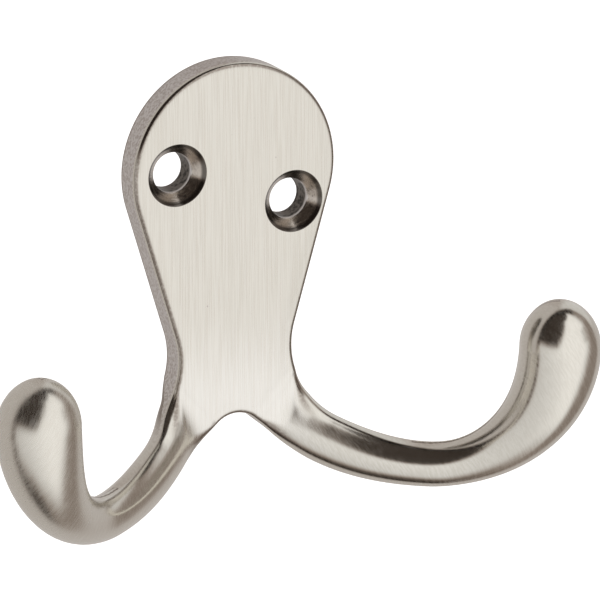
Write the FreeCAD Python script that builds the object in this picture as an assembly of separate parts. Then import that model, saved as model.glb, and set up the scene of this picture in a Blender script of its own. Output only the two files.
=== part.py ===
"""Double robe hook: one casting, a pear-shaped back plate that forks into two upturned prongs.

Millimetres, +Z up, +X to the right as seen from the room, and the wall on the +Y side.
The back face lies on y = 0, with the origin midway between the two screw holes on that face.
The prongs are drawn flat first, as a centreline in the plane of the plate, and are then swung
forward about an upright bend at their roots, so (along, height) on that flat drawing becomes a
point in space through the function on_strip.
"""
import FreeCAD
import Part

import math
import os

from FreeCAD import Vector

# Back plate
PLATE_THICKNESS = 3.8
HEAD_RADIUS = 12.6
HEAD_RISE = 1.95
NECK_WIDTH = 14.3
NECK_RADIUS = 9.4
ARCH_DROP = 26.75
ARCH_RADIUS = 3.45
ARCH_END_ANGLE = 47.65
FRONT_EDGE_RADIUS = 0.5
BACK_EDGE_RADIUS = 0.3

# Countersunk screw holes, on a slanting line through the origin
SCREW_PITCH = 15.35
SCREW_LINE_ANGLE = -18.6
SCREW_BORE = 4.7
COUNTERSINK_DIAMETER = 7.3
COUNTERSINK_ANGLE = 82.0

# Path of a prong on the flat drawing: a long sweep down to its lowest point, then a tighter upturn
PRONG_REACH = 23.2
PRONG_DROP = 33.35
SWEEP_RADIUS = 28.7
UPTURN_RADIUS = 15.3
UPTURN_ANGLE = 88.0

# Forward swing of a prong, about an upright bend at its root
SWING_ANGLE = 35.4
SWING_OFFSET = 6.0
BEND_RADIUS = 5.0

# Cross-sections of a prong
SHOULDER_HALF_WIDTH = 3.0
WAIST_WIDTH = 5.2
WAIST_THICKNESS = 4.7
TIP_WIDTH = 9.3
TIP_THICKNESS = 9.5
TIP_LENGTH = 5.4
TIP_CLOSING_ANGLE = 86.0
ROUNDNESS = 0.9
ROUNDING_ANGLE = 13.0
SWELL_START = 12.0

# Numbers of cross-sections along the sweep and the upturn and over the tip
SWEEP_STATIONS = 10
UPTURN_STATIONS = 8
TIP_STATIONS = 5
ROOT_CROWDING = 1.5

# Widest gap that is closed where the outlines of plate and prong meet, and how near counts as there
SEAM_TOLERANCE = 0.02
NEAR = 0.05

# Share of the way to a corner at which the poles of a cubic lie that follows a quarter ellipse
ELLIPSE_POLE = 4 / 3 * (math.sqrt(2) - 1)

HEAD_CENTRE = Vector(0, 0, HEAD_RISE)
ARCH_CENTRE = Vector(0, 0, -ARCH_DROP - ARCH_RADIUS)
SWEEP_CENTRE = Vector(PRONG_REACH, 0, SWEEP_RADIUS - PRONG_DROP)
UPTURN_CENTRE = Vector(PRONG_REACH, 0, UPTURN_RADIUS - PRONG_DROP)

# The line across a root points from the end of the arch to the centre of the sweep
ARCH_END_X = ARCH_RADIUS * math.cos(math.radians(ARCH_END_ANGLE))
ARCH_END_Z = ARCH_CENTRE.z + ARCH_RADIUS * math.sin(math.radians(ARCH_END_ANGLE))
SWEEP_ANGLE = math.degrees(math.atan2(PRONG_REACH - ARCH_END_X, SWEEP_CENTRE.z - ARCH_END_Z))

# The arc of the neck runs out on the upper edge of the sweep, so the distance of their centres is given
NECK_INSET = PRONG_REACH - NECK_WIDTH / 2 - NECK_RADIUS
NECK_FALL = math.sqrt((SWEEP_RADIUS - SHOULDER_HALF_WIDTH - NECK_RADIUS) ** 2 - NECK_INSET ** 2)
NECK_CENTRE = SWEEP_CENTRE - Vector(NECK_INSET, 0, NECK_FALL)
SHOULDER_ANGLE = -math.degrees(math.atan2(NECK_INSET, NECK_FALL))
MIRROR_PLANE = (Vector(0, 0, 0), Vector(1, 0, 0))


def polar(angle):
    """Unit vector in the plane of the plate, at an angle in degrees from +X towards +Z."""
    return Vector(math.cos(math.radians(angle)), 0, math.sin(math.radians(angle)))


def mirrored(shape):
    """The same shape on the other side of the plate's centre line."""
    return shape.mirror(*MIRROR_PLANE)


def blend(start, end, share):
    """Value that eases from start to end, with no slope at either, as share runs from 0 to 1."""
    share = min(max(share, 0.0), 1.0)
    return start + (end - start) * share * share * (3 - 2 * share)


def centreline(angle):
    """Point of the flat centreline at an angle from its lowest point.

    Negative angles lie on the sweep from the root, positive ones on the upturn.
    """
    if angle < 0:
        return SWEEP_CENTRE + polar(angle - 90) * SWEEP_RADIUS
    return UPTURN_CENTRE + polar(angle - 90) * UPTURN_RADIUS


def swung(turned):
    """Level direction that points to the right and is turned forward by an angle in radians."""
    return Vector(math.cos(turned), -math.sin(turned), 0)


def on_strip(along):
    """Point in the middle of the thickness, and level direction, at a distance along the drawing.

    Seen from above, the strip runs along +X, turns forward on the bend radius and goes on straight.
    """
    swing = math.radians(SWING_ANGLE)
    bend_start = SWING_OFFSET - BEND_RADIUS * math.tan(swing / 2)
    turned = min(max((along - bend_start) / BEND_RADIUS, 0.0), swing)
    straight_run = max(along - bend_start - BEND_RADIUS * swing, 0.0)
    bent = Vector(math.sin(turned), math.cos(turned) - 1, 0) * BEND_RADIUS
    start = Vector(min(along, bend_start), -PLATE_THICKNESS / 2, 0)
    return start + bent + swung(turned) * straight_run, swung(turned)


def meet_circle(start, direction, centre, radius):
    """Distance from start along a direction to the first meeting with a circle ahead of it."""
    along = (centre - start).dot(direction)
    off = (centre - start - direction * along).Length
    return along - math.sqrt(radius ** 2 - off ** 2)


def root_reach():
    """Distances from the start of the centreline up to the neck and down to the arch."""
    start = centreline(-SWEEP_ANGLE)
    upward = polar(90 - SWEEP_ANGLE)
    upper = meet_circle(start, upward, NECK_CENTRE, NECK_RADIUS)
    lower = meet_circle(start, -upward, ARCH_CENTRE, ARCH_RADIUS)
    return upper, lower


def root_corners():
    """Ends of the line on which the right prong leaves the plate: on the neck and on the arch."""
    start = centreline(-SWEEP_ANGLE)
    upward = polar(90 - SWEEP_ANGLE)
    upper, lower = root_reach()
    return start + upward * upper, start - upward * lower


def back_plate():
    """Plate of even thickness inside tangent arcs and lines, with rounded edges, open at the roots."""
    reach = NECK_CENTRE - HEAD_CENTRE
    lean = math.degrees(math.atan2(reach.z, reach.x))
    tangent = lean + math.degrees(math.acos((HEAD_RADIUS + NECK_RADIUS) / reach.Length))
    head_end = HEAD_CENTRE + polar(tangent) * HEAD_RADIUS
    neck_start = NECK_CENTRE - polar(tangent) * NECK_RADIUS
    upper, lower = root_corners()
    neck_middle = NECK_CENTRE + (neck_start + upper - NECK_CENTRE * 2).normalize() * NECK_RADIUS
    head_top = HEAD_CENTRE + polar(90) * HEAD_RADIUS
    arch_top = ARCH_CENTRE + polar(90) * ARCH_RADIUS

    side = [Part.LineSegment(head_end, neck_start).toShape(),
            Part.Arc(neck_start, neck_middle, upper).toShape(),
            Part.LineSegment(upper, lower).toShape()]
    head = Part.Arc(mirrored(Part.Vertex(head_end)).Point, head_top, head_end).toShape()
    arch = Part.Arc(lower, arch_top, mirrored(Part.Vertex(lower)).Point).toShape()
    outline = Part.Wire(Part.__sortEdges__([head, arch] + side + [mirrored(edge) for edge in side]))
    plate = Part.Face(outline).extrude(Vector(0, -PLATE_THICKNESS, 0))

    root_middle = (upper + lower) * 0.5
    for level, radius in ((-PLATE_THICKNESS, FRONT_EDGE_RADIUS), (0, BACK_EDGE_RADIUS)):
        rim = [edge for edge in plate.Edges if is_rim(edge, level, root_middle)]
        plate = plate.makeFillet(radius, rim)
    return plate


def is_rim(edge, level, root_middle):
    """Whether an edge lies all along a face of the plate and isn't the line across a root."""
    box = edge.BoundBox
    flat = max(abs(box.YMin - level), abs(box.YMax - level)) < NEAR
    middle = edge.valueAt((edge.FirstParameter + edge.LastParameter) / 2)
    across = math.hypot(abs(middle.x) - root_middle.x, middle.z - root_middle.z) < NEAR
    return flat and not across


def is_root_end(face):
    """Whether a face of the plate is one of the flat ends on which the prongs stand."""
    upper, lower = root_corners()
    middle = (upper + lower) * 0.5
    centre = face.CenterOfMass
    return math.hypot(abs(centre.x) - middle.x, centre.z - middle.z) < NEAR


def rounded_wire(flats):
    """Closed wire of four straight flats, given by their ends, with a quarter ellipse at each corner."""
    edges = []
    for (start, end), (next_start, _) in zip(flats, flats[1:] + flats[:1]):
        direction = (end - start).normalize()
        corner = end + direction * (next_start - end).dot(direction)
        bend = Part.BezierCurve()
        bend.setPoles([end, end + (corner - end) * ELLIPSE_POLE,
                       next_start + (corner - next_start) * ELLIPSE_POLE, next_start])
        edges += [Part.LineSegment(start, end).toShape(), bend.toShape()]
    return Part.Wire(edges)


def root_wire(plate):
    """Outline of the plate's end on the right root, from the back of its upper side round the front."""
    end = max(filter(is_root_end, plate.Faces), key=lambda face: face.CenterOfMass.x)
    upper, lower = root_corners()
    upward = (upper - lower).normalize()

    def turn_from_upper_side(edge):
        offset = edge.CenterOfMass - end.CenterOfMass
        return math.atan2(-offset.y, offset.dot(upward)) % math.tau

    upper_side = Part.LineSegment(upper - Vector(0, BACK_EDGE_RADIUS, 0),
                                  upper - Vector(0, PLATE_THICKNESS - FRONT_EDGE_RADIUS, 0)).toShape()
    others = [edge for edge in end.Edges if (edge.CenterOfMass - upper_side.CenterOfMass).Length > NEAR]
    return Part.Wire([upper_side] + sorted(others, key=turn_from_upper_side))


def rounded_section(centre, across, outward, half_width, half_thickness, roundness):
    """Closed wire of a rectangle whose corners take a share of each side: upper, front, lower, back."""
    up = across * half_width
    out = outward * half_thickness
    flat = 1 - roundness
    sides = [up, out, -up, -out]
    flats = [(centre + side - ahead * flat, centre + side + ahead * flat)
             for side, ahead in zip(sides, sides[1:] + sides[:1])]
    return rounded_wire(flats)


def half_widths(angle):
    """Distances from the centreline up and down to the edges of the prong.

    On the sweep the upper edge carries on the arc of the neck to the shoulder, while the lower edge
    spreads from the arch to the shoulder, and both taper to the waist.  On the upturn both swell
    towards the tip.
    """
    waist = WAIST_WIDTH / 2
    if angle >= 0:
        swollen = blend(waist, TIP_WIDTH / 2, (angle - SWELL_START) / (UPTURN_ANGLE - SWELL_START))
        return swollen, swollen
    if angle > SHOULDER_ANGLE:
        tapered = blend(waist, SHOULDER_HALF_WIDTH, angle / SHOULDER_ANGLE)
        return tapered, tapered
    upper = meet_circle(centreline(angle), polar(angle + 90), NECK_CENTRE, NECK_RADIUS)
    to_root = (SHOULDER_ANGLE - angle) / (SHOULDER_ANGLE + SWEEP_ANGLE)
    return upper, blend(SHOULDER_HALF_WIDTH, root_reach()[1], to_root)


def prong_section(angle):
    """Cross-section of the prong at an angle of its centreline: place, directions and sizes."""
    upper, lower = half_widths(angle)
    upward = polar(angle + 90)
    if angle < 0:
        thickness = blend(WAIST_THICKNESS, PLATE_THICKNESS, -angle / SWEEP_ANGLE)
    else:
        swell = (angle - SWELL_START) / (UPTURN_ANGLE - SWELL_START)
        thickness = blend(WAIST_THICKNESS, TIP_THICKNESS, swell)
    sharp = 2 * FRONT_EDGE_RADIUS / PLATE_THICKNESS
    roundness = blend(sharp, ROUNDNESS, (angle + SWEEP_ANGLE) / ROUNDING_ANGLE)

    middle = centreline(angle)
    place, level = on_strip(middle.x)
    forward_along = level * upward.z + Vector(0, 0, -upward.x)
    twist = blend(0, math.radians(SWING_ANGLE), (angle + SWEEP_ANGLE) / (SHOULDER_ANGLE + SWEEP_ANGLE))
    outward = forward_along.cross(swung(twist) * upward.x + Vector(0, 0, upward.z)).normalize()
    across = outward.cross(forward_along)
    centre = place + Vector(0, 0, middle.z) + across * ((upper - lower) / 2)
    return centre, across, outward, (upper + lower) / 2, thickness / 2, roundness


def prong(plate):
    """Faces of the right prong, open at the root: one loft along its centreline, one over its tip.

    Along the sweep the sections lie closer together near the root, where the prong changes most.
    """
    arm = [root_wire(plate)]
    for step in range(1, SWEEP_STATIONS):
        share = (step / SWEEP_STATIONS) ** ROOT_CROWDING
        arm.append(rounded_section(*prong_section(SWEEP_ANGLE * (share - 1))))
    for step in range(UPTURN_STATIONS + 1):
        arm.append(rounded_section(*prong_section(UPTURN_ANGLE * step / UPTURN_STATIONS)))

    centre, across, outward, half_width, half_thickness, roundness = prong_section(UPTURN_ANGLE)
    onward = across.cross(outward)
    tip = arm[-1:]
    for step in range(1, TIP_STATIONS + 1):
        rise = math.radians(TIP_CLOSING_ANGLE * step / TIP_STATIONS)
        tip.append(rounded_section(centre + onward * (TIP_LENGTH * math.sin(rise)), across, outward,
                                   half_width * math.cos(rise), half_thickness * math.cos(rise), roundness))
    return Part.makeLoft(arm).Faces + Part.makeLoft(tip).Faces + [Part.Face(tip[-1])]


def screw_hole(place):
    """Bore through the plate, opening into a countersink on the front face."""
    flare = (COUNTERSINK_DIAMETER - SCREW_BORE) / 2
    depth = flare / math.tan(math.radians(COUNTERSINK_ANGLE / 2))
    into_wall = Vector(0, 1, 0)
    front = place - into_wall * PLATE_THICKNESS
    bore = Part.makeCylinder(SCREW_BORE / 2, PLATE_THICKNESS, front, into_wall)
    cone = Part.makeCone(COUNTERSINK_DIAMETER / 2, SCREW_BORE / 2, depth, front, into_wall)
    return bore.fuse(cone)


def double_hook():
    """The whole casting: plate and prongs share their outlines at the roots and close into one solid."""
    plate = back_plate()
    right = prong(plate)
    left = [mirrored(face) for face in right]
    casting = Part.Compound([face for face in plate.Faces if not is_root_end(face)] + right + left)
    casting.sewShape(SEAM_TOLERANCE)
    half_pitch = polar(SCREW_LINE_ANGLE) * (SCREW_PITCH / 2)
    return Part.Solid(casting).cut([screw_hole(half_pitch), screw_hole(-half_pitch)])


os.makedirs("parts", exist_ok=True)
double_hook().exportStep("parts/double_hook.step")
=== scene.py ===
"""Double robe hook in satin nickel: the dressed casting, its light tent and its camera.

Metres, +Z up, +X to the right as seen from the room and +Y into the wall, with the origin midway
between the screw holes on the back face.  The casting is one closed skin: surfaces worked out on grids
for the edges of the plate, the prongs and the screw holes, with two flat faces between them.
"""

import math
from operator import itemgetter
from types import SimpleNamespace

import bmesh
import bpy
import numpy as np
from mathutils import Matrix, Vector
from mathutils.geometry import delaunay_2d_cdt


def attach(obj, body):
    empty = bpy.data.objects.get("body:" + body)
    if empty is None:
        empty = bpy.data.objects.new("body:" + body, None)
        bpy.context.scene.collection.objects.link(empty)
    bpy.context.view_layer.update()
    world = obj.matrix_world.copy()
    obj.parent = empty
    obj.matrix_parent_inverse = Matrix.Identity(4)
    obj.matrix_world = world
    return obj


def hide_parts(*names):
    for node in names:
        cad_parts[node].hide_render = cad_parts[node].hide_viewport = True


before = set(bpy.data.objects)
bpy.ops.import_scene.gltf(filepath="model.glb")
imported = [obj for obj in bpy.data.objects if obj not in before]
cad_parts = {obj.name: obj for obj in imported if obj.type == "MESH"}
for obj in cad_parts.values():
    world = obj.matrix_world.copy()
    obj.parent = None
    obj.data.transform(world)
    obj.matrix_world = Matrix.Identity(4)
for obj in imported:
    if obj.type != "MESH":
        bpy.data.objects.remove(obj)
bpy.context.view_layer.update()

bl_info = {
    "name": "Double robe hook",
    "version": (1, 0, 0),
    "blender": (4, 5, 0),
    "location": "View3D > Sidebar > Robe hook",
    "description": "Builds a cast double robe hook in satin nickel, with its studio",
    "category": "Add Mesh",
}

MM = 0.001
FULL_TURN = 2 * math.pi
QUARTER_TURN = math.pi / 2
WHITE = (1.0, 1.0, 1.0)

# Grid counts: parts of a rounded corner, of a flat side, and of each run of the outline
CORNER_PARTS = 14
SIDE_PARTS = 10
FLAT_PARTS = 16
HEAD_PARTS = 120
FLANK_PARTS = 60
NECK_PARTS = 60
ARCH_PARTS = 36
SWEEP_PARTS = 100
UPTURN_PARTS = 110
TIP_PARTS = 44
HOLE_PARTS = 120
SINK_EDGE_PARTS = 6
SINK_PARTS = 8
BORE_PARTS = 6

# Grid counts of the stage
TENT_COLUMNS = 360
TENT_ROWS = 179
FLOOR_COLUMNS = 128
FLOOR_ROWS = 40

# Step of the net of points inside the flat faces, and its distance from their borders
NET_STEP = 0.6 * MM
NET_MARGIN = 0.6 * NET_STEP

# Points this close are welded, and lengths below the tolerance count as nothing
WELD_STEP = 1e-4 * MM
TOLERANCE = 1e-9

# Kind of result of the triangulation: faces inside the outline and outside its holes
INSIDE_WITH_HOLES = 2

# The tip's last ring, short of its pole, and the angle from which an edge counts as sharp
LAST_RISE = math.radians(86)
SHARP_ANGLE = math.radians(35)

# Marks that the finish reads: shares of face, skin and tip, millimetres beside the seam up to 1, and the
# painted dark edge lines, a painted reflection
MARKS = ("brushed", "cast_skin", "satin", "beside_seam", "painted_edge_shade")
FACE_MARK = np.array([1.0, 0.0, 0.0, 1.0, 0.0])
SKIN_MARK = np.array([0.0, 1.0, 0.0, 1.0, 0.0])
TIP_MARK = np.array([0.0, 0.0, 1.0, 1.0, 0.0])

# Shares of the front rounding at which the brushed face has ended and the cast skin begins, and its run
FACE_END = 0.2
SKIN_START = 0.7
SKIN_RUN = 0.5

# Painted dark lines along the edges, a painted reflection: middle and half-width, as shares of the rounding
# there
FRONT_EDGE_SHADE = (0.26, 0.24)
BACK_EDGE_SHADE = (0.9, 0.6)

# Shares of a prong's rings along which the plate's marks run out, and where and how soon it becomes satin
ROOT_RUN = 0.22
SATIN_START = 0.35
SATIN_RUN = 0.35

# Share of the seam's height from which painted lines of dark reflection are marked beside it
SEAM_SHOWS = 0.3


def length(name, description, millimetres):
    """Property that holds a length, given here in millimetres."""
    return bpy.props.FloatProperty(name=name, description=description, default=millimetres * MM,
                                   unit="LENGTH", precision=5)


def turn(name, description, degrees):
    """Property that holds an angle, given here in degrees."""
    return bpy.props.FloatProperty(name=name, description=description, default=math.radians(degrees),
                                   unit="ROTATION")


def share(name, description, value):
    """Property that holds a share from 0 to 1."""
    return bpy.props.FloatProperty(name=name, description=description, default=value, min=0.0, max=1.0,
                                   subtype="FACTOR")


def tint(name, description, red, green, blue):
    """Property that holds a linear colour."""
    return bpy.props.FloatVectorProperty(name=name, description=description, default=(red, green, blue),
                                         size=3, min=0.0, max=1.0, subtype="COLOR")


class CastingSizes(bpy.types.PropertyGroup):
    """Sizes of the casting."""

    plate_thickness: length("Plate thickness", "Even thickness of the back plate", 3.8)
    head_radius: length("Head radius", "Radius of the plate's round head", 12.6)
    head_rise: length("Head rise", "Height of the head's centre above the middle of the holes", 1.95)
    neck_width: length("Neck width", "Width of the plate at its neck", 14.3)
    neck_radius: length("Neck radius", "Radius of the hollow between neck and prong", 9.4)
    arch_drop: length("Arch drop", "Depth of the arch's top below the middle of the holes", 26.75)
    arch_radius: length("Arch radius", "Radius of the arch between the prongs", 3.45)
    arch_end_angle: turn("Arch end", "Angle about the arch's centre at which a root begins", 47.65)
    front_edge: length("Front edge", "Rounding of the front edge", 0.68)
    back_edge: length("Back edge", "Rounding of the back edge", 0.3)
    screw_pitch: length("Screw pitch", "Distance between the two screw holes", 15.35)
    screw_slant: turn("Screw slant", "Slope of the line through the screw holes", -18.6)
    screw_bore: length("Screw bore", "Diameter of the bore", 4.7)
    bore_draft: length("Bore draft", "Amount by which the bore's radius shrinks towards the back", 0.15)
    sink_width: length("Countersink", "Diameter of the countersink on the face", 7.3)
    sink_angle: turn("Countersink angle", "Opening angle of the countersink", 82)
    sink_break: length("Countersink edge", "Rounding of the countersink's edge", 0.12)
    prong_reach: length("Prong reach", "Distance along the flat drawing to the lowest point", 23.2)
    prong_drop: length("Prong drop", "Depth of the lowest point of the centreline", 33.35)
    sweep_radius: length("Sweep radius", "Radius of the long sweep down from the root", 28.7)
    upturn_radius: length("Upturn radius", "Radius of the upturn to the tip", 15.3)
    upturn_angle: turn("Upturn angle", "Angle of the upturn", 87)
    swing_angle: turn("Swing", "Angle by which a prong swings forward", 35.4)
    swing_offset: length("Swing offset", "Distance of the upright bend from the middle", 6.0)
    bend_radius: length("Bend radius", "Radius of the upright bend", 5.0)
    shoulder_half_width: length("Shoulder", "Half-width of a prong where the neck's arc runs out", 3.0)
    waist_width: length("Waist width", "Width of a prong at its slimmest", 5.2)
    waist_thickness: length("Waist thickness", "Thickness of a prong at its slimmest", 4.7)
    tip_width: length("Tip width", "Width of the thick tip", 9.3)
    tip_thickness: length("Tip thickness", "Thickness of the thick tip", 9.5)
    tip_length: length("Tip length", "Length of the tip's round end", 5.75)
    tip_lean: share("Tip lean", "Share of the tip's length by which it leans inward and forward", 0.035)
    roundness: share("Roundness", "Share of each side of a section that its corners take", 0.97)
    rounding_angle: turn("Rounding", "Angle of the sweep along which the sections become round", 13)
    swell_start: turn("Swell start", "Angle of the upturn from which the tip swells", 8)
    twist_start: turn("Twist start", "Angle of the sweep at which the sections begin to turn forward", -40)
    twist_end: turn("Twist end", "Angle of the sweep at which the sections have turned forward", -22)
    back_rounding: turn("Back rounding", "Angle of the sweep along which the back corners become round", 6)
    roll_width: length("Roll width", "Width of the strip along which the face rolls off to its edge", 1.5)
    roll_depth: length("Roll depth", "Depth by which the face has rolled off at its edge", 0.06)
    seam_height: length("Seam height", "Height of the mould's seam along the prongs", 0.09)
    seam_width: length("Seam width", "Half-width of the mould's seam", 0.16)
    seam_start: turn("Seam start", "Angle of the upturn before which the seam is dressed away", -6)


class FinishColours(bpy.types.PropertyGroup):
    """Colours of the finish."""

    nickel: tint("Nickel", "Reflection colour of the nickel plate", 0.675, 0.645, 0.585)
    # Painted light: this lighter nickel is painted on the face towards the fork, a painted brighter
    # reflection; the face there is no smoother
    nickel_painted_light: tint("Fork", "Reflection colour of the smoother face above the fork", 0.77, 0.745, 0.70)
    nickel_streak: tint("Brush streak", "Reflection colour in a brush line", 0.56, 0.525, 0.465)
    skin: tint("Cast skin", "Reflection colour of the unbrushed sides", 0.65, 0.62, 0.60)
    skin_pit: tint("Cast pits", "Reflection colour in the pits of the unbrushed sides", 0.44, 0.395, 0.365)
    # Painted shade: colour of the painted dark reflection lines beside the seam and along the edges
    seam: tint("Seam", "Reflection colour of the lines beside the mould's seam", 0.24, 0.20, 0.17)
    # Darker than the face: the turned finish together with painted shade of the countersink's hollow
    sink: tint("Countersink", "Reflection colour of the turned countersinks", 0.52, 0.465, 0.41)


class StudioSettings(bpy.types.PropertyGroup):
    """Camera and light tent."""

    azimuth: turn("Azimuth", "Direction the camera looks along, from +Y", -26.419)
    elevation: turn("Elevation", "Height of the camera above the horizon", 16.899)
    roll: turn("Roll", "Turn of the camera about its own axis", 0.257)
    distance: length("Distance", "Distance from the camera to its target", 859.4)
    view_width: length("View width", "Width of the view at the target", 68.30)
    target_x: length("Target X", "Target of the camera, to the right of the origin", 7.998)
    target_z: length("Target Z", "Target of the camera, above the origin", -14.274)
    tent_radius: length("Tent radius", "Radius of the light tent", 1500)
    floor_drop: length("Floor drop", "Depth of the floor below the origin", 300)
    floor_lift: share("Floor lift", "Light that lifts the floor to white in the picture", 0.8)


def blend(start, end, reached):
    """Values that ease from start to end, with no slope at either, as reached runs from 0 to 1."""
    reached = np.clip(reached, 0.0, 1.0)
    return start + (end - start) * reached ** 2 * (3 - 2 * reached)


def polar(angle):
    """Unit vectors (x, z) in the plane of the plate, at angles from +X towards +Z."""
    return np.stack([np.cos(angle), np.sin(angle)], axis=-1)


def meet_circle(start, direction, centre, radius):
    """Distances from start along direction to the first meeting with a circle ahead of it."""
    to_centre = centre - start
    along = (to_centre * direction).sum(axis=-1)
    off_squared = (to_centre ** 2).sum(axis=-1) - along ** 2
    return along - np.sqrt(radius ** 2 - off_squared)


def angle_about(centre, point):
    """Angles at which points (x, z) lie about a centre."""
    offset = point - centre
    return np.arctan2(offset[..., 1], offset[..., 0])


def flat_drawing(sizes):
    """Centres (x, z) of the arcs of the flat drawing, and the angles at which they pass into each other.

    The neck's arc touches the upper edge of the sweep, so their centres lie a known distance apart.
    """
    head = np.array([0.0, sizes.head_rise])
    arch = np.array([0.0, -sizes.arch_drop - sizes.arch_radius])
    sweep = np.array([sizes.prong_reach, sizes.sweep_radius - sizes.prong_drop])
    upturn = np.array([sizes.prong_reach, sizes.upturn_radius - sizes.prong_drop])
    neck_inset = sizes.prong_reach - sizes.neck_width / 2 - sizes.neck_radius
    centre_gap = sizes.sweep_radius - sizes.shoulder_half_width - sizes.neck_radius
    neck_fall = math.sqrt(centre_gap ** 2 - neck_inset ** 2)
    neck = sweep - np.array([neck_inset, neck_fall])
    reach = neck - head
    tangent = (math.atan2(reach[1], reach[0])
               + math.acos((sizes.head_radius + sizes.neck_radius) / np.linalg.norm(reach)))
    arch_end = arch + polar(np.array(sizes.arch_end_angle)) * sizes.arch_radius
    sweep_angle = math.atan2(sweep[0] - arch_end[0], sweep[1] - arch_end[1])
    root = sweep + polar(np.array(-sweep_angle - QUARTER_TURN)) * sizes.sweep_radius
    upward = polar(np.array(QUARTER_TURN - sweep_angle))
    return SimpleNamespace(head=head, arch=arch, sweep=sweep, upturn=upturn, neck=neck, tangent=tangent,
                           sweep_angle=sweep_angle, root=root, upward=upward,
                           shoulder=-math.atan2(neck_inset, neck_fall))


def root_reach(sizes, drawing, inset):
    """Distances from the root's middle up to the neck and down to the arch, at insets from the edge."""
    upper = meet_circle(drawing.root, drawing.upward, drawing.neck, sizes.neck_radius + inset)
    lower = meet_circle(drawing.root, -drawing.upward, drawing.arch, sizes.arch_radius + inset)
    return upper, lower


def edge_profile(sizes):
    """Insets and depths y of the plate's edge from the front face round to the back face.

    A quarter circle of the front rounding, the straight side, and a quarter circle of the back rounding.
    """
    bend = np.linspace(0, QUARTER_TURN, CORNER_PARTS + 1)
    side = np.linspace(sizes.front_edge - sizes.plate_thickness, -sizes.back_edge, SIDE_PARTS + 1)[1:-1]
    inset = np.concatenate([sizes.front_edge * (1 - np.sin(bend)), np.zeros(len(side)),
                            sizes.back_edge * (1 - np.cos(bend))])
    depth = np.concatenate([sizes.front_edge * (1 - np.cos(bend)) - sizes.plate_thickness, side,
                            sizes.back_edge * (np.sin(bend) - 1)])
    return inset, depth


def with_mirror(half):
    """Rows of points (x, z) that end at the middle line, followed by their mirror image."""
    return np.concatenate([half, half[:, -2::-1] * [-1, 1]], axis=1)


def crown_rows(sizes, drawing, inset):
    """Parallel curves from the right root over the head to the left root, one for each inset.

    Each is the neck's arc, the straight flank and the head's arc, with the inset added to the radius of
    the hollow arc and taken off that of the round one.
    """
    inset = inset[:, None]
    upper, _ = root_reach(sizes, drawing, inset)
    start = drawing.root + upper[..., None] * drawing.upward
    first = angle_about(drawing.neck, start)
    last = drawing.tangent + math.pi
    first = first + FULL_TURN * np.round((last - first) / FULL_TURN)
    neck_angle = first + (last - first) * np.linspace(0, 1, NECK_PARTS + 1)
    neck = drawing.neck + (sizes.neck_radius + inset)[..., None] * polar(neck_angle)
    head_angle = np.linspace(drawing.tangent, QUARTER_TURN, HEAD_PARTS // 2 + 1)
    head = drawing.head + (sizes.head_radius - inset)[..., None] * polar(head_angle)
    run = np.linspace(0, 1, FLANK_PARTS + 1)[1:-1, None]
    flank = neck[:, -1:] + (head[:, :1] - neck[:, -1:]) * run
    return with_mirror(np.concatenate([neck, flank, head], axis=1))


def arch_rows(sizes, drawing, inset):
    """Parallel arcs from the right root over the arch to the left root, one for each inset."""
    inset = inset[:, None]
    _, lower = root_reach(sizes, drawing, inset)
    first = angle_about(drawing.arch, drawing.root - lower[..., None] * drawing.upward)
    angle = first + (QUARTER_TURN - first) * np.linspace(0, 1, ARCH_PARTS // 2 + 1)
    return with_mirror(drawing.arch + (sizes.arch_radius + inset)[..., None] * polar(angle))


def stand_up(rows, depth):
    """Points (x, y, z) of rows of plane points (x, z), each row at its own depth y."""
    return np.stack([rows[..., 0], np.broadcast_to(depth[:, None], rows.shape[:2]), rows[..., 1]], axis=-1)


def on_strip(sizes, along):
    """Points in the middle of the thickness, and level directions, at distances along the flat drawing.

    Seen from above, the strip runs along +X, turns forward on the bend radius and goes on straight.
    """
    bend_start = sizes.swing_offset - sizes.bend_radius * math.tan(sizes.swing_angle / 2)
    turned = np.clip((along - bend_start) / sizes.bend_radius, 0.0, sizes.swing_angle)
    straight_run = np.maximum(along - bend_start - sizes.bend_radius * sizes.swing_angle, 0.0)
    level = np.stack([np.cos(turned), -np.sin(turned), np.zeros_like(turned)], axis=-1)
    x = np.minimum(along, bend_start) + sizes.bend_radius * np.sin(turned)
    y = sizes.bend_radius * (np.cos(turned) - 1) - sizes.plate_thickness / 2
    place = np.stack([x, y, np.zeros_like(x)], axis=-1)
    return place + level * straight_run[:, None], level


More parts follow.
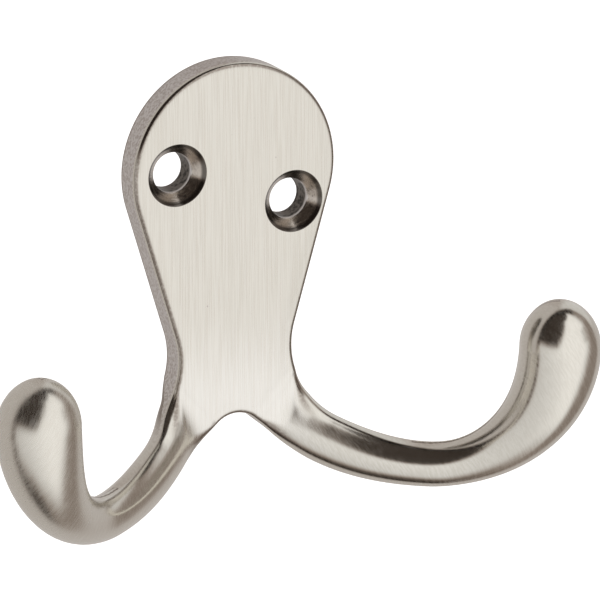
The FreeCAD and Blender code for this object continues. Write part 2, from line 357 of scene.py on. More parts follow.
def prong_frames(sizes, drawing, angle):
    """Centres, directions and half-sizes of the prong's sections at angles of its centreline.

    Negative angles lie on the sweep and positive ones on the upturn.  On the sweep the upper edge carries
    on the arc of the neck to the shoulder while the lower edge spreads from the arch to the shoulder, and
    both taper to the waist.  On the upturn width and thickness swell to the tip.  The direction across the
    section turns forward later than the centreline, between two angles of the sweep.
    """
    on_sweep = angle[:, None] < 0
    middle = np.where(on_sweep, drawing.sweep + polar(angle - QUARTER_TURN) * sizes.sweep_radius,
                      drawing.upturn + polar(angle - QUARTER_TURN) * sizes.upturn_radius)
    upward = polar(angle + QUARTER_TURN)
    back_share = -angle / drawing.sweep_angle
    swell = (angle - sizes.swell_start) / (sizes.upturn_angle - sizes.swell_start)
    from_root = angle + drawing.sweep_angle

    waist = sizes.waist_width / 2
    swollen = blend(waist, sizes.tip_width / 2, swell)
    tapered = blend(waist, sizes.shoulder_half_width, angle / drawing.shoulder)
    near_root = np.minimum(angle, drawing.shoulder)
    neck_middle = drawing.sweep + polar(near_root - QUARTER_TURN) * sizes.sweep_radius
    on_neck = meet_circle(neck_middle, polar(near_root + QUARTER_TURN), drawing.neck, sizes.neck_radius)
    _, root_lower = root_reach(sizes, drawing, 0.0)
    to_root = (drawing.shoulder - angle) / (drawing.shoulder + drawing.sweep_angle)
    spread = blend(sizes.shoulder_half_width, root_lower, to_root)
    upper = np.where(angle >= 0, swollen, np.where(angle > drawing.shoulder, tapered, on_neck))
    lower = np.where(angle >= 0, swollen, np.where(angle > drawing.shoulder, tapered, spread))
    thickness = np.where(angle >= 0, blend(sizes.waist_thickness, sizes.tip_thickness, swell),
                         blend(sizes.waist_thickness, sizes.plate_thickness, back_share))

    place, level = on_strip(sizes, middle[:, 0])
    flat = np.zeros(len(angle))
    along = level * upward[:, 1:] - np.stack([flat, flat, upward[:, 0]], axis=-1)
    twist_share = (angle - sizes.twist_start) / (sizes.twist_end - sizes.twist_start)
    twist = blend(0.0, sizes.swing_angle, twist_share)
    lagging = np.stack([np.cos(twist) * upward[:, 0], -np.sin(twist) * upward[:, 0], upward[:, 1]], axis=-1)
    outward = np.cross(along, lagging)
    outward /= np.linalg.norm(outward, axis=-1, keepdims=True)
    across = np.cross(outward, along)
    centre = place + across * ((upper - lower) / 2)[:, None]
    centre[:, 2] += middle[:, 1]
    return SimpleNamespace(centre=centre, across=across, outward=outward, half_width=(upper + lower) / 2,
                           half_thickness=thickness / 2, from_root=from_root)


def section_ring():
    """Ring round a section, from the back of its upper side over front, lower side and back.

    Each point is (across, outward) = flat * (half-size - corner) + round * corner, so flat holds the
    place on the rectangle between the corners' centres and round the direction within a corner.
    """
    bend = np.linspace(0, QUARTER_TURN, CORNER_PARTS + 1)
    side = np.linspace(-1, 1, SIDE_PARTS + 1)[1:-1]
    face = np.linspace(1, -1, FLAT_PARTS + 1)[1:-1]
    runs = [((1, -1), (np.sin(bend), -np.cos(bend))), ((1, side), (1, 0)),
            ((1, 1), (np.cos(bend), np.sin(bend))), ((face, 1), (0, 1)),
            ((-1, 1), (-np.sin(bend), np.cos(bend))), ((-1, -side), (-1, 0)),
            ((-1, -1), (-np.cos(bend), -np.sin(bend))), ((-face, -1), (0, -1))]
    flat, bent = [], []
    for (flat_a, flat_b), (round_a, round_b) in runs:
        count = max(np.size(flat_a), np.size(flat_b), np.size(round_a))
        flat.append(np.stack([np.broadcast_to(flat_a, count), np.broadcast_to(flat_b, count)], axis=-1))
        bent.append(np.stack([np.broadcast_to(round_a, count), np.broadcast_to(round_b, count)], axis=-1))
    return np.concatenate(flat).astype(float), np.concatenate(bent).astype(float)


def root_corner(sizes, drawing, flat):
    """Corner lengths (across, outward) of the plate's own end section, for each point of the ring."""
    upper, lower = root_reach(sizes, drawing, np.array([0.0, sizes.front_edge, sizes.back_edge]))
    front, upper_side = flat[:, 1] > 0, flat[:, 0] > 0
    across = np.where(upper_side, np.where(front, upper[0] - upper[1], upper[0] - upper[2]),
                      np.where(front, lower[0] - lower[1], lower[0] - lower[2]))
    return np.stack([across, np.where(front, sizes.front_edge, sizes.back_edge)], axis=-1)


def prong_rows(sizes, drawing):
    """Rings of the right prong from its root to its tip, the pole that closes the tip, and the seam's mark.

    Over the tip the rings shrink with the cosine of the rise and move on with its sine.  The mould's seam
    is a low ridge exp(-t^2) along the middle of the upper side that runs out on the tip with the cosine
    cubed.  Its mark is the distance from the seam in millimetres, up to 1.
    """
    sweep = np.linspace(-drawing.sweep_angle, 0, SWEEP_PARTS + 1)
    upturn = np.linspace(0, sizes.upturn_angle, UPTURN_PARTS + 1)[1:]
    rise = np.linspace(0, LAST_RISE, TIP_PARTS + 1)[1:]
    angle = np.concatenate([sweep, upturn, np.full(TIP_PARTS, sizes.upturn_angle)])
    rise = np.concatenate([np.zeros(len(angle) - TIP_PARTS), rise])[:, None]
    frames = prong_frames(sizes, drawing, angle)
    flat, bent = section_ring()

    half = np.stack([frames.half_width, frames.half_thickness], axis=-1)[:, None, :]
    rounding = np.where(flat[:, 1:] < 0, sizes.back_rounding, sizes.rounding_angle)
    rounded = blend(0.0, 1.0, frames.from_root[:, None, None] / rounding)
    corner = (1 - rounded) * root_corner(sizes, drawing, flat) + rounded * sizes.roundness * half
    section = (flat * (half - corner) + bent * corner) * np.cos(rise)[..., None]

    onward = np.cross(frames.across, frames.outward) + sizes.tip_lean * (frames.across + frames.outward)
    tip = frames.centre + onward * (sizes.tip_length * np.sin(rise))
    rows = (tip[:, None, :] + section[..., :1] * frames.across[:, None, :]
            + section[..., 1:] * frames.outward[:, None, :])

    seam_share = blend(0.0, 1.0, (angle - sizes.seam_start) / -sizes.seam_start)[:, None]
    seam = sizes.seam_height * np.exp(-(section[..., 1] / sizes.seam_width) ** 2) * seam_share
    on_upper_side = (flat[:, 0] > 0) & (bent[:, 0] > 0)
    lean = (np.cos(rise) ** 3)[..., None] * frames.across[:, None, :]
    rows = rows + (seam * on_upper_side)[..., None] * lean
    beside = np.where(on_upper_side & (seam_share > SEAM_SHOWS), np.abs(section[..., 1]) / MM, 1.0)
    return rows, frames.centre[-1] + onward[-1] * sizes.tip_length, np.clip(beside, 0.0, 1.0)


def hole_rows(sizes, centre):
    """Rings of a screw hole from the face to the back: a broken edge, the countersink and the bore.

    Each ring is a circle about the hole's axis, and the profile is its radius and depth y.
    """
    half_angle = sizes.sink_angle / 2
    bore = sizes.screw_bore / 2
    sink_depth = (sizes.sink_width / 2 - bore) / math.tan(half_angle)
    edge = np.linspace(0, QUARTER_TURN - half_angle, SINK_EDGE_PARTS + 1)
    edge_radius = sizes.sink_width / 2 - sizes.sink_break * np.sin(edge)
    edge_depth = sizes.sink_break * (1 - np.cos(edge))
    cone = np.linspace(0, 1, SINK_PARTS + 1)[1:]
    cone_radius = edge_radius[-1] + (bore - edge_radius[-1]) * cone
    cone_depth = edge_depth[-1] + (sink_depth - edge_depth[-1]) * cone
    run = np.linspace(0, 1, BORE_PARTS + 1)[1:]
    wall_depth = sink_depth + (sizes.plate_thickness - sink_depth) * run
    radius = np.concatenate([edge_radius, cone_radius, bore - sizes.bore_draft * run])
    depth = np.concatenate([edge_depth, cone_depth, wall_depth]) - sizes.plate_thickness
    angle = np.linspace(0, FULL_TURN, HOLE_PARTS, endpoint=False)
    circles = centre + radius[:, None, None] * polar(angle)
    return stand_up(circles, depth)


def grid_faces(rows, columns, closed):
    """Corner numbers of the quads between neighbouring rows and columns, joined round where closed."""
    number = np.arange(rows * columns).reshape(rows, columns)
    if closed:
        number = np.concatenate([number, number[:, :1]], axis=1)
    corners = [number[:-1, :-1], number[:-1, 1:], number[1:, 1:], number[1:, :-1]]
    return np.stack(corners, axis=-1).reshape(-1, 4)


def distances(points, line):
    """Shortest distances in the plane of the plate from points to the points of a line."""
    offset = points[:, None, [0, 2]] - line[None, :, [0, 2]]
    return np.sqrt((offset ** 2).sum(axis=-1).min(axis=1))


def inner_points(border):
    """Points of an even triangular net over the border's box, at its depth, that keep off the border."""
    low, high = border.min(axis=0), border.max(axis=0)
    x, z = np.meshgrid(np.arange(low[0], high[0], NET_STEP),
                       np.arange(low[2], high[2], NET_STEP * math.sqrt(0.75)))
    x = x + NET_STEP / 2 * (np.arange(len(x)) % 2)[:, None]
    net = np.stack([x.ravel(), np.full(x.size, low[1]), z.ravel()], axis=-1)
    return net[distances(net, border) > NET_MARGIN]


def rolled_off(sizes, points, outline):
    """Points with the face rolled off to its edge: a parabola of the distance from the outline.

    The rest of the edge's rounding goes along in the share that is left to its side.
    """
    nearest = distances(points, outline)
    on_front = np.clip(1 - (points[:, 1] + sizes.plate_thickness) / sizes.front_edge, 0.0, 1.0)
    near = np.clip(1 - nearest / sizes.roll_width, 0.0, 1.0)
    on_plate = points[:, 1] > -sizes.plate_thickness - TOLERANCE
    rolled = points.copy()
    rolled[:, 1] += np.where(on_plate, sizes.roll_depth * near ** 2 * on_front, 0.0)
    return rolled


class Skin:
    """Collects the casting's grids and flat faces, with marks for the finish, and welds them."""

    def __init__(self):
        self.points, self.marks, self.quads, self.triangles, self.sunk = [], [], [], [], []
        self.count = 0

    def add_points(self, points, mark):
        """Adds points with their marks and returns the number of the first one."""
        first = self.count
        points = points.reshape(-1, 3)
        self.points.append(points)
        self.marks.append(np.broadcast_to(mark, (len(points), len(MARKS))))
        self.count += len(points)
        return first

    def add_grid(self, grid, mark, closed=False, sunk=False):
        """Adds the quads of a grid of points; sunk ones belong to a screw hole."""
        first = self.add_points(grid, mark)
        faces = grid_faces(*grid.shape[:2], closed) + first
        self.quads.append(faces)
        self.sunk.append(np.full(len(faces), sunk))

    def add_fan(self, ring, pole, mark):
        """Adds the triangles between a ring and its pole."""
        first = self.add_points(np.concatenate([ring, pole[None]]), mark)
        here = np.arange(len(ring))
        fan = np.stack([here, np.roll(here, -1), np.full(len(ring), len(ring))], axis=-1)
        self.triangles.append(fan + first)

    def add_flat(self, outline, holes, mark):
        """Adds the flat face inside an outline and outside its holes, all at one depth y."""
        loops = [outline] + holes
        points = np.concatenate(loops)
        ends = np.cumsum([len(loop) for loop in loops])
        rings = [list(range(end - len(loop), end)) for loop, end in zip(loops, ends)]
        points = np.concatenate([points, inner_points(points)])
        first = self.add_points(points, mark)
        plane = points[:, [0, 2]].tolist()
        _, _, faces, numbers, _, _ = delaunay_2d_cdt(plane, [], rings, INSIDE_WITH_HOLES, TOLERANCE)
        source = np.fromiter(map(itemgetter(0), numbers), dtype=int)
        self.triangles.append(source[np.array(faces)] + first)

    def welded(self):
        """Points met once, their marks, the quads and triangles between them, and which quads are sunk."""
        points = np.concatenate(self.points)
        steps = np.round(points / WELD_STEP)
        _, first, same = np.unique(steps, axis=0, return_index=True, return_inverse=True)
        same = same.reshape(-1)
        marks = np.concatenate(self.marks)[first]
        quads, triangles = same[np.concatenate(self.quads)], same[np.concatenate(self.triangles)]
        return points[first], marks, quads, triangles, np.concatenate(self.sunk)


def edge_marks(sizes, depth):
    """Marks over the profile of the plate's edge, at depths y.

    The brushed face ends and the skin of the mould begins along the front rounding.  The painted brown
    lines of dark reflection along the edges are bells exp(-t^2) about a share of each rounding.
    """
    turned = (depth + sizes.plate_thickness) / sizes.front_edge
    left = -depth / sizes.back_edge
    # Painted dark reflection lines along the front and back roundings
    edge_shade = sum(np.exp(-((place - middle) / half_width) ** 2)
               for place, (middle, half_width) in ((turned, FRONT_EDGE_SHADE), (left, BACK_EDGE_SHADE)))
    none = np.zeros(len(depth))
    return np.stack([blend(1.0, 0.0, turned / FACE_END), blend(0.0, 1.0, (turned - SKIN_START) / SKIN_RUN),
                     none, none + 1, edge_shade], axis=-1)


def casting_skin(sizes):
    """The whole skin of the casting.

    The plate's edge is a grid of parallel curves over its profile.  Each prong's first ring is made of the
    ends of those curves, so the grids meet point on point, and the left prong mirrors the right one.
    """
    drawing = flat_drawing(sizes)
    inset, depth = edge_profile(sizes)
    crown = stand_up(crown_rows(sizes, drawing, inset), depth)
    arch = stand_up(arch_rows(sizes, drawing, inset), depth)
    prong, pole, beside_seam = prong_rows(sizes, drawing)
    edge_count = len(inset)
    face_count = FLAT_PARTS - 1
    prong[0, :edge_count] = crown[::-1, 0]
    prong[0, edge_count + face_count:2 * edge_count + face_count] = arch[:, 0]
    front_run = prong[0, edge_count:edge_count + face_count]
    back_run = prong[0, 2 * edge_count + face_count:]
    front_run[:, 1] = -sizes.plate_thickness
    back_run[:, 1] = 0.0

    half_pitch = polar(np.array(sizes.screw_slant)) * (sizes.screw_pitch / 2)
    holes = [hole_rows(sizes, half_pitch), hole_rows(sizes, -half_pitch)]
    flip = np.array([-1.0, 1.0, 1.0])
    front = np.concatenate([crown[0, ::-1], front_run, arch[0], front_run[::-1] * flip])
    back = np.concatenate([crown[-1], (back_run * flip)[::-1], arch[-1, ::-1], back_run])

    edge_mark = edge_marks(sizes, depth)
    skin = Skin()
    for strip in (crown, arch):
        skin.add_grid(strip, np.repeat(edge_mark, strip.shape[1], axis=0))
    along = np.linspace(0, 1, len(prong))[:, None, None]
    ring_mark = np.concatenate([edge_mark[::-1], np.tile(FACE_MARK, (face_count, 1)), edge_mark,
                                np.tile(SKIN_MARK, (face_count, 1))])
    satin = blend(0.0, 1.0, (along - SATIN_START) / SATIN_RUN)
    prong_mark = ring_mark * blend(1.0, 0.0, along / ROOT_RUN) + satin * TIP_MARK
    prong_mark[..., MARKS.index("beside_seam")] = beside_seam
    prong_mark = prong_mark.reshape(-1, len(MARKS))
    for side in (np.ones(3), flip):
        skin.add_grid(prong * side, prong_mark, closed=True)
        skin.add_fan(prong[-1] * side, pole * side, TIP_MARK)
    for hole in holes:
        in_hole = np.repeat(np.linspace(0, 1, len(hole)), HOLE_PARTS)[:, None]
        skin.add_grid(hole, (1 - in_hole) * FACE_MARK + in_hole * TIP_MARK, closed=True, sunk=True)
    skin.add_flat(front, [hole[0] for hole in holes], FACE_MARK)
    skin.add_flat(back, [hole[-1] for hole in holes], SKIN_MARK)
    points, *rest = skin.welded()
    return [rolled_off(sizes, points, front)] + rest


def put_mesh(name, points, quads, triangles):
    """New mesh object made from whole arrays of points, quads and triangles."""
    mesh = bpy.data.meshes.new(name)
    mesh.vertices.add(len(points))
    mesh.vertices.foreach_set("co", points.ravel())
    corners = np.concatenate([quads.ravel(), triangles.ravel()])
    mesh.loops.add(len(corners))
    mesh.loops.foreach_set("vertex_index", corners)
    starts = np.concatenate([np.arange(len(quads)) * 4, quads.size + np.arange(len(triangles)) * 3])
    mesh.polygons.add(len(starts))
    mesh.polygons.foreach_set("loop_start", starts)
    mesh.update(calc_edges=True)
    piece = bpy.data.objects.new(name, mesh)
    bpy.context.scene.collection.objects.link(piece)
    return piece


def set_mark(mesh, name, values):
    """Stores one number for each point of a mesh under a name that materials read."""
    mesh.attributes.new(name, "FLOAT", "POINT").data.foreach_set("value", np.ascontiguousarray(values))


class Nodes:
    """Short way to add nodes to a material or world and to link them."""

    def __init__(self, owner):
        owner.use_nodes = True
        self.tree = owner.node_tree
        self.tree.nodes.clear()

    def add(self, kind, settings=None, **inputs):
        """Adds a node; inputs name its sockets and hold either a value or another node's socket."""
        node = self.tree.nodes.new(kind)
        for name, value in (settings or {}).items():
            setattr(node, name, value)
        for name, value in inputs.items():
            key = int(name[1:]) if name[1:].isdigit() else name.replace("_", " ")
            if isinstance(value, bpy.types.NodeSocket):
                self.tree.links.new(value, node.inputs[key])
            else:
                node.inputs[key].default_value = value
        return node

    def mark(self, name):
        """A mark that the mesh carries."""
        return self.add("ShaderNodeAttribute", {"attribute_name": name}).outputs["Fac"]

    def math(self, operation, first, second):
        """Result of a sum, product or other operation on two numbers or sockets."""
        return self.add("ShaderNodeMath", {"operation": operation}, _0=first, _1=second).outputs[0]

    def times(self, first, second):
        """Product of two numbers or sockets."""
        return self.math("MULTIPLY", first, second)

    def ramp(self, value, low, high, start=0.0, end=1.0):
        """A value mapped smoothly from low..high to start..end."""
        node = self.add("ShaderNodeMapRange", {"interpolation_type": "SMOOTHSTEP"}, Value=value,
                        From_Min=low, From_Max=high, To_Min=start, To_Max=end)
        return node.outputs[0]

    def mix(self, reached, start, end):
        """A number that goes from start to end."""
        return self.add("ShaderNodeMix", {"data_type": "FLOAT"}, _0=reached, _2=start, _3=end).outputs[0]

    def mix_colour(self, reached, start, end):
        """A colour that goes from start to end."""
        return self.add("ShaderNodeMix", {"data_type": "RGBA"}, _0=reached, _6=start, _7=end).outputs[2]

    def seen(self):
        """1 for rays from the camera and for what metal or glass shows of the background, else 0."""
        path = self.add("ShaderNodeLightPath").outputs
        shown = self.math("MAXIMUM", path["Is Glossy Ray"], path["Is Transmission Ray"])
        return self.math("MAXIMUM", path["Is Camera Ray"], shown)

    def noise(self, place, scale=1.0, stretch=(1, 1, 1), detail=3.0, turned=(0, 0, 0)):
        """Noise from 0 to 1 over a place, drawn out by a stretch along its own axes."""
        turning = self.add("ShaderNodeMapping", Vector=place, Rotation=turned)
        mapping = self.add("ShaderNodeMapping", Vector=turning.outputs[0], Scale=stretch)
        node = self.add("ShaderNodeTexNoise", Vector=mapping.outputs[0], Scale=scale, Detail=detail)
        return node.outputs["Fac"]


def opaque(colour):
    """Colour with a full fourth channel."""
    return (*colour, 1.0)


# Waves of noise for each metre, and the turn of the scratches on the prongs
BRUSH_WAVES = (9500, 1500, 130)
SCRATCH_WAVES = (600, 1500, 6500)
SCRATCH_TURN = (0.0, 1.1, 0.3)
PIT_WAVES = 3200.0
SPECK_WAVES = 1500.0
TOOL_WAVES = (1500, 5200, 1500)
STAIN_WAVES = 2200.0

# Levels of noise between which streaks, specks, pits, the spots of the painted dark edge lines, and the
# hole's stains and painted shade patches in the bore appear
STREAKS = (0.62, 0.38)
SPECKS = (0.80, 0.84)
PITS = (0.60, 0.38)
EDGE_SHADE_SPOTS = (0.3, 0.6)
STAINS = (0.55, 0.8)
BORE_SHADE_LEVELS = (0.45, 0.62)
GRAIN = (0.3, 0.7)
PIT_GRAIN = (0.35, 0.65)

# Strength of the streaks on a buffed prong, a satin tip, the face and the face above the fork
BUFFED_STREAK, SATIN_STREAK, FACE_STREAK, FORK_STREAK = 0.4, 0.35, 0.7, 0.45

# Strength of the painted dark edge lines, a painted reflection, between their spots and in them
EDGE_SHADE_DEPTH = (0.6, 0.9)

# Roughness of buffed, satin, brushed, cast and turned metal, and of the bore
BUFFED_ROUGH = (0.14, 0.19)
SATIN_ROUGH = (0.14, 0.23)
BRUSHED_ROUGH = (0.26, 0.36)
CAST_ROUGH = (0.28, 0.40)
TURNED_ROUGH = (0.13, 0.24)
BORE_ROUGH = 0.4

# Heights over which the face is painted lighter towards the fork, a painted brighter reflection, and places
# where the left tip grows duller
FORK_HEIGHTS = (-12 * MM, -26 * MM)
LEFT_TIP = (-12 * MM, -24 * MM)
LEFT_TIP_DULLER = 0.08

# Painted brown lines of dark reflection beside the seam: outer and inner edge of each in millimetres, and
# how far they waver
SEAM_SHADE_OUTER = (0.40, 0.30)
SEAM_SHADE_INNER = (0.12, 0.20)
SEAM_WAVER = (-0.05, 0.05)

# Levels of the edge mark between which the painted brown line of dark reflection along an edge appears
EDGE_SHADE_LEVELS = (0.25, 0.8)

# Depth of the bump's relief, and its strength on a buffed prong, a satin tip, cast skin, sink and bore
GRAIN_RELIEF = 0.05 * MM
TOOL_RELIEF = 0.04 * MM
BUFFED_BUMP, SATIN_BUMP, CAST_BUMP, SINK_BUMP, BORE_BUMP = 0.05, 0.08, 1.0, 0.35, 1.0

# Shares of a hole's rings: start and end of its painted dark rim (painted shade), light lip and bore
RIM_START, RIM_END = (0.0, 0.06), (0.46, 0.37)
LIP_START, LIP_END = (0.64, 0.69), (0.76, 0.71)
BORE_START = (0.68, 0.72)

# Share of the countersink's colour that its stains and the painted shade of its rim and bore keep, and the
# colour of the painted shade patches in the bore
STAIN_AND_SHADE_SHARE = 0.28
BORE_SHADE_COLOUR = (0.04, 0.035, 0.03)


def satin_nickel(colours):
    """Nickel plate: brush lines up the face, buffed prongs with fine scratches, and a pitted cast skin.

    The scratches of the two prongs mirror each other.  The face is painted lighter above the fork, a
    painted brighter reflection, and its streaks are fainter there; painted brown lines of dark reflection
    lie beside the seam and along the edges, and the left tip is duller than the right.
    """
    material = bpy.data.materials.new("satin_nickel")
    nodes = Nodes(material)
    place = nodes.add("ShaderNodeTexCoord").outputs["Object"]
    x, y, z = nodes.add("ShaderNodeSeparateXYZ", Vector=place).outputs
    face, skin, satin, beside, edge = [nodes.mark(name) for name in MARKS]

    # Grain: noise drawn out along the lines of the finish
    folded = nodes.times(nodes.math("ABSOLUTE", x, 0.0), -1.0)
    mirrored = nodes.add("ShaderNodeCombineXYZ", X=folded, Y=y, Z=z).outputs[0]
    brush = nodes.noise(place, stretch=BRUSH_WAVES)
    scratch = nodes.noise(mirrored, stretch=SCRATCH_WAVES, detail=4.0, turned=SCRATCH_TURN)
    pits = nodes.noise(place, PIT_WAVES, detail=5.0)
    grain = nodes.mix(skin, nodes.mix(face, scratch, brush), pits)

    # Colour: metal with streaks, specks, painted light above the fork and painted dark reflection lines
    # beside the seam, the mottled skin, and painted dark reflection lines along the edges
    # Painted light: the face is painted lighter towards the fork, a painted brighter reflection, and its
    # streaks fade there
    painted_fork_light = nodes.times(face, nodes.ramp(z, *FORK_HEIGHTS))
    contrast = nodes.mix(face, nodes.mix(satin, BUFFED_STREAK, SATIN_STREAK), FACE_STREAK)
    streak = nodes.times(nodes.ramp(grain, *STREAKS), contrast)
    streak = nodes.times(streak, nodes.mix(painted_fork_light, 1.0, FORK_STREAK))
    plain = nodes.mix_colour(painted_fork_light, opaque(colours.nickel), opaque(colours.nickel_painted_light))
    metal = nodes.mix_colour(streak, plain, opaque(colours.nickel_streak))
    specks = nodes.times(face, nodes.ramp(nodes.noise(place, SPECK_WAVES, detail=1.0), *SPECKS))
    metal = nodes.mix_colour(specks, metal, opaque(colours.skin_pit))
    # Painted dark reflection: brown lines on the flanks beside the seam, wavering with the pits
    wavy = nodes.math("ADD", beside, nodes.ramp(pits, *GRAIN, *SEAM_WAVER))
    line = nodes.times(nodes.ramp(wavy, *SEAM_SHADE_OUTER), nodes.ramp(wavy, *SEAM_SHADE_INNER))
    metal = nodes.mix_colour(line, metal, opaque(colours.seam))
    mottled = nodes.mix_colour(nodes.ramp(pits, *PITS), opaque(colours.skin), opaque(colours.skin_pit))
    # Painted dark reflection: brown lines along the edge roundings, varied by the pits
    edge_shade = nodes.times(nodes.ramp(edge, *EDGE_SHADE_LEVELS), nodes.ramp(pits, *EDGE_SHADE_SPOTS, *EDGE_SHADE_DEPTH))
    colour = nodes.mix_colour(edge_shade, nodes.mix_colour(skin, metal, mottled), opaque(colours.seam))

    # Roughness and relief
    buffed = nodes.mix(satin, nodes.ramp(scratch, *GRAIN, *BUFFED_ROUGH),
                       nodes.ramp(scratch, *GRAIN, *SATIN_ROUGH))
    duller = nodes.times(satin, nodes.ramp(x, *LEFT_TIP, 0.0, LEFT_TIP_DULLER))
    smooth = nodes.mix(face, nodes.math("ADD", buffed, duller), nodes.ramp(brush, *GRAIN, *BRUSHED_ROUGH))
    rough = nodes.mix(skin, smooth, nodes.ramp(pits, *PIT_GRAIN, *CAST_ROUGH))
    strength = nodes.mix(skin, nodes.mix(satin, BUFFED_BUMP, SATIN_BUMP), CAST_BUMP)
    bump = nodes.add("ShaderNodeBump", Strength=strength, Distance=GRAIN_RELIEF, Height=grain)
    shader = nodes.add("ShaderNodeBsdfPrincipled", Base_Color=colour, Metallic=1.0, Roughness=rough,
                       Normal=bump.outputs[0])
    nodes.add("ShaderNodeOutputMaterial", Surface=shader.outputs[0])
    return material


def turned_nickel(colours):
    """Turned surface of the screw holes: darker nickel, partly painted shade, with fine tool marks, a
    painted dark rim and a bore darkened with painted shade and near-black patches.

    In a hole the satin mark runs from 0 at the face to 1 at the back.
    """
    material = bpy.data.materials.new("turned_nickel")
    nodes = Nodes(material)
    place = nodes.add("ShaderNodeTexCoord").outputs["Object"]
    depth = nodes.mark("satin")
    tool_marks = nodes.noise(place, stretch=TOOL_WAVES, detail=4.0)
    stain = nodes.noise(place, STAIN_WAVES, detail=4.0)
    in_bore = nodes.ramp(depth, *BORE_START)
    # Painted shade: a dark ring from the rim into the countersink
    rim_shade = nodes.times(nodes.ramp(depth, *RIM_START), nodes.ramp(depth, *RIM_END))
    on_lip = nodes.times(nodes.ramp(depth, *LIP_START), nodes.ramp(depth, *LIP_END))

    # Random stains, with painted shade on the rim and over the whole bore
    stain_and_shade = nodes.math("MAXIMUM", nodes.math("MAXIMUM", nodes.ramp(stain, *STAINS), rim_shade), in_bore)
    darker = tuple(STAIN_AND_SHADE_SHARE * part for part in colours.sink)
    turned = nodes.mix_colour(stain_and_shade, opaque(colours.sink), opaque(darker))
    # Painted shade: near-black patches in the bore
    bore_shade = nodes.times(in_bore, nodes.ramp(stain, *BORE_SHADE_LEVELS))
    bore_shaded = nodes.mix_colour(bore_shade, turned, opaque(BORE_SHADE_COLOUR))
    colour = nodes.mix_colour(on_lip, bore_shaded, opaque(colours.skin))
    rough = nodes.mix(in_bore, nodes.ramp(tool_marks, *GRAIN, *TURNED_ROUGH), BORE_ROUGH)
    strength = nodes.mix(in_bore, SINK_BUMP, BORE_BUMP)
    relief = nodes.mix(in_bore, tool_marks, stain)
    bump = nodes.add("ShaderNodeBump", Strength=strength, Distance=TOOL_RELIEF, Height=relief)
    shader = nodes.add("ShaderNodeBsdfPrincipled", Base_Color=colour, Metallic=1.0, Roughness=rough,
                       Normal=bump.outputs[0])
    nodes.add("ShaderNodeOutputMaterial", Surface=shader.outputs[0])
    return material


class HOOK_OT_casting(bpy.types.Operator):
    """Build the casting: back plate, prongs and screw holes in one skin"""

    bl_idname = "robe_hook.casting"
    bl_label = "Casting"

    def execute(self, context):
        sizes, colours = context.scene.hook_sizes, context.scene.hook_colours
        points, marks, quads, triangles, sunk = casting_skin(sizes)
        piece = put_mesh("hook_casting", points, quads, triangles)
        mesh = piece.data
        for name, values in zip(MARKS, marks.T):
            set_mark(mesh, name, values)
        mesh.materials.append(satin_nickel(colours))
        mesh.materials.append(turned_nickel(colours))
        slots = np.concatenate([sunk, np.zeros(len(triangles))]).astype(np.int32)
        mesh.polygons.foreach_set("material_index", slots)
        shell = bmesh.new()
        shell.from_mesh(mesh)
        bmesh.ops.recalc_face_normals(shell, faces=shell.faces)
        open_edges = sum(not edge.is_manifold for edge in shell.edges)
        shell.to_mesh(mesh)
        shell.free()
        if open_edges:
            raise RuntimeError(f"the casting's skin has {open_edges} open edges")
        mesh.shade_smooth()
        mesh.set_sharp_from_angle(angle=SHARP_ANGLE)
        weighted = piece.modifiers.new("face_weighted_normals", "WEIGHTED_NORMAL")
        weighted.keep_sharp = True
        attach(piece, "root")
        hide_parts("double_hook")
        return {"FINISHED"}


def bearing(direction):
    """Azimuth from straight ahead of the plate, positive to the right, and elevation, in degrees."""
    x, y, z = np.moveaxis(direction, -1, 0)
    return np.degrees(np.arctan2(x, -y)), np.degrees(np.arcsin(np.clip(z, -1, 1)))


def ease(value, start, end):
    """Share from 0 to 1 that values have gone, gently, from start to end."""
    return blend(0.0, 1.0, (value - start) / (end - start))


# Light tent: soft edges of its parts, each from none to full, in degrees of azimuth or elevation
CLOTH_RISE = (-60, 10)
PANEL_LEFT = (-97, -90)
PANEL_RIGHT = (60, 28)
PANEL_BOTTOM = (-84, -50)
PANEL_RISE = (-100, -5)
NOTCH_LEFT = (42, 52)
NOTCH_BOTTOM = (2, 8)
NOTCH_TOP = (30, 24)
CARD_RIGHT = (-25, -43)
CARD_BOTTOM = (-4, 12)
SLIT_BOTTOM = (46, 56)
BACK_BOTTOM = (0, 15)
BACK_RIGHT = (152, 136)

# Light tent: soft edges of its parts, each from none to full, as shares of the direction along x or y
BACK_FRONT = (0.07, 0.20)
BACK_LEFT = (0.0, 0.3)
GAP_FRONT = (-0.10, 0.03)
GAP_RIGHT = (0.3, -0.1)
SLIT_FRONT = (-0.15, -0.06)
SLIT_BACK = (0.25, 0.15)
SLIT_LEFT = (-0.2, 0.1)

# Light tent: glow of each part with what it gains, and shares of light that the dark parts take
CLOTH_GLOW, CLOTH_GAIN = 0.10, 0.22
PANEL_GLOW, PANEL_GAIN = 0.82, 0.36
BACK_GLOW, BACK_GAIN, BACK_LOSS = 0.62, 0.26, 0.08
NOTCH_DARK, CARD_DARK, GAP_DARK, SLIT_DARK = 0.5, 0.95, 0.78, 0.9

# Light tent: colour of its dim parts, and the glows between which it turns white
DIM_CLOTH = (1.0, 0.80, 0.68)
CLOTH_TINT = (0.05, 0.9)


